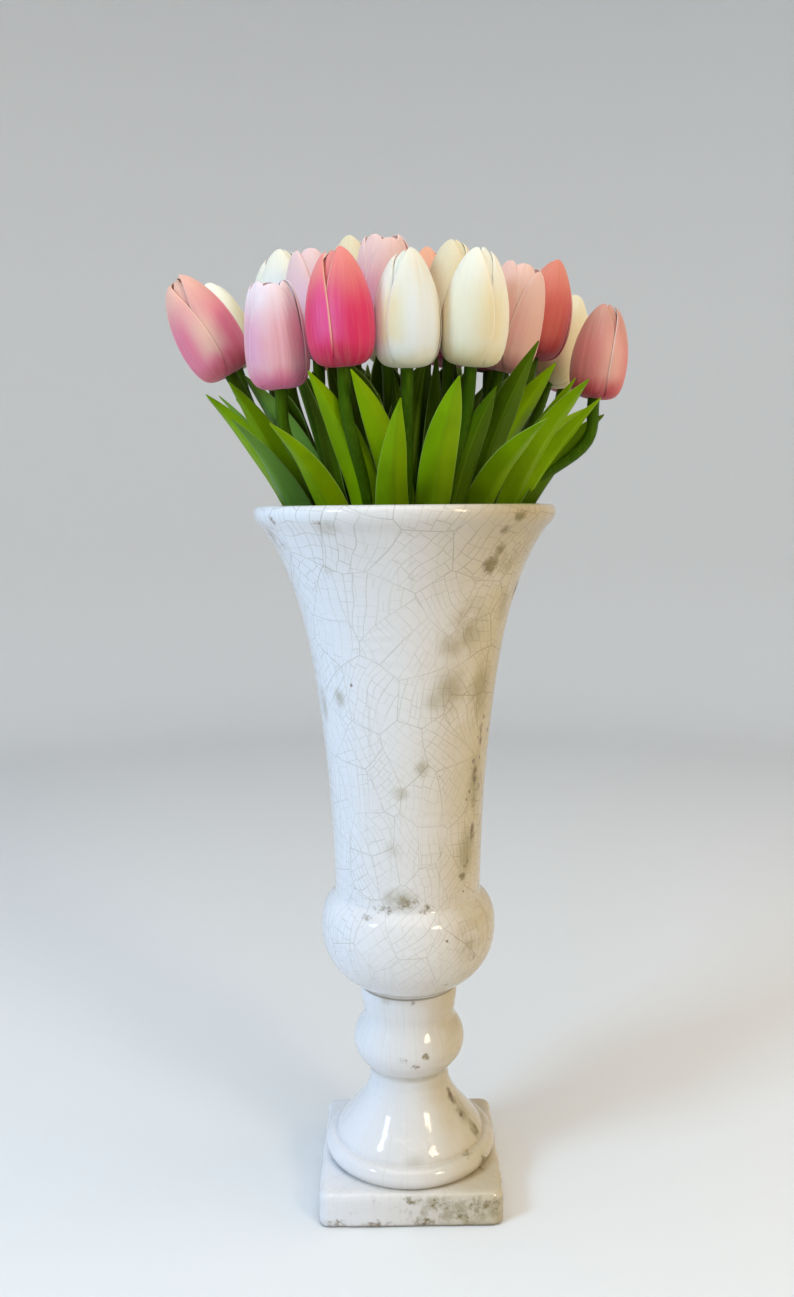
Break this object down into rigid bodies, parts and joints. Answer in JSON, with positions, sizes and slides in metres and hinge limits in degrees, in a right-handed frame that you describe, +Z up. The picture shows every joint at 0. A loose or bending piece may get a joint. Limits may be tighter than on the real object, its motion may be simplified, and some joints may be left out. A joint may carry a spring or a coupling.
{
  "type": "tulips in a vase",
  "caption": "Loose bunch of cut tulips with closed blooms and pointed leaves, standing in a tall trumpet-shaped pedestal vase with a square plinth.",
  "frame": {"origin": "centre of the plinth's flat underside", "axes": "+Z up along the vase's axis, -Y towards the front of the bunch, +X to its right; two of the plinth's sides are parallel to X"},
  "size_m": [0.2483, 0.2005, 0.5517],
  "materials": {
    "vase_glaze": "glossy crackle glaze, ivory white with olive-brown wear",
    "stem_green": "satin",
    "leaf_green": "satin, finely veined",
    "petal_white": "soft matte",
    "petal_cream": "soft matte",
    "petal_lilac": "soft matte",
    "petal_blush": "soft matte",
    "petal_rose": "soft matte",
    "petal_coral": "soft matte"
  },
  "bodies": {
    "root": {"vase": "vase_glaze", "stem_01": "stem_green", "bloom_01": "petal_coral", "stem_02": "stem_green", "bloom_02": "petal_cream", "stem_03": "stem_green", "bloom_03": "petal_lilac", "stem_04": "stem_green", "bloom_04": "petal_white", "stem_05": "stem_green", "bloom_05": "petal_white", "stem_06": "stem_green", "bloom_06": "petal_lilac", "stem_07": "stem_green", "bloom_07": "petal_rose", "stem_08": "stem_green", "bloom_08": "petal_cream", "stem_09": "stem_green", "bloom_09": "petal_lilac", "stem_10": "stem_green", "bloom_10": "petal_white", "stem_11": "stem_green", "bloom_11": "petal_coral", "stem_12": "stem_green", "bloom_12": "petal_cream", "stem_13": "stem_green", "bloom_13": "petal_cream", "stem_14": "stem_green", "bloom_14": "petal_blush", "stem_15": "stem_green", "bloom_15": "petal_coral", "stem_16": "stem_green", "bloom_16": "petal_cream", "stem_17": "stem_green", "bloom_17": "petal_coral", "stem_18": "stem_green", "bloom_18": "petal_blush", "stem_19": "stem_green", "bloom_19": "petal_rose", "stem_20": "stem_green", "bloom_20": "petal_rose", "stem_21": "stem_green", "bloom_21": "petal_cream", "stem_22": "stem_green", "bloom_22": "petal_lilac", "stem_23": "stem_green", "bloom_23": "petal_white", "leaves_01": "leaf_green", "leaves_02": "leaf_green", "leaves_03": "leaf_green", "leaves_07": "leaf_green", "leaves_10": "leaf_green", "leaves_13": "leaf_green", "leaves_14": "leaf_green", "leaves_17": "leaf_green", "leaves_18": "leaf_green", "leaves_20": "leaf_green", "leaves_21": "leaf_green", "leaves_22": "leaf_green", "leaves_23": "leaf_green"}
  },
  "joints": []
}
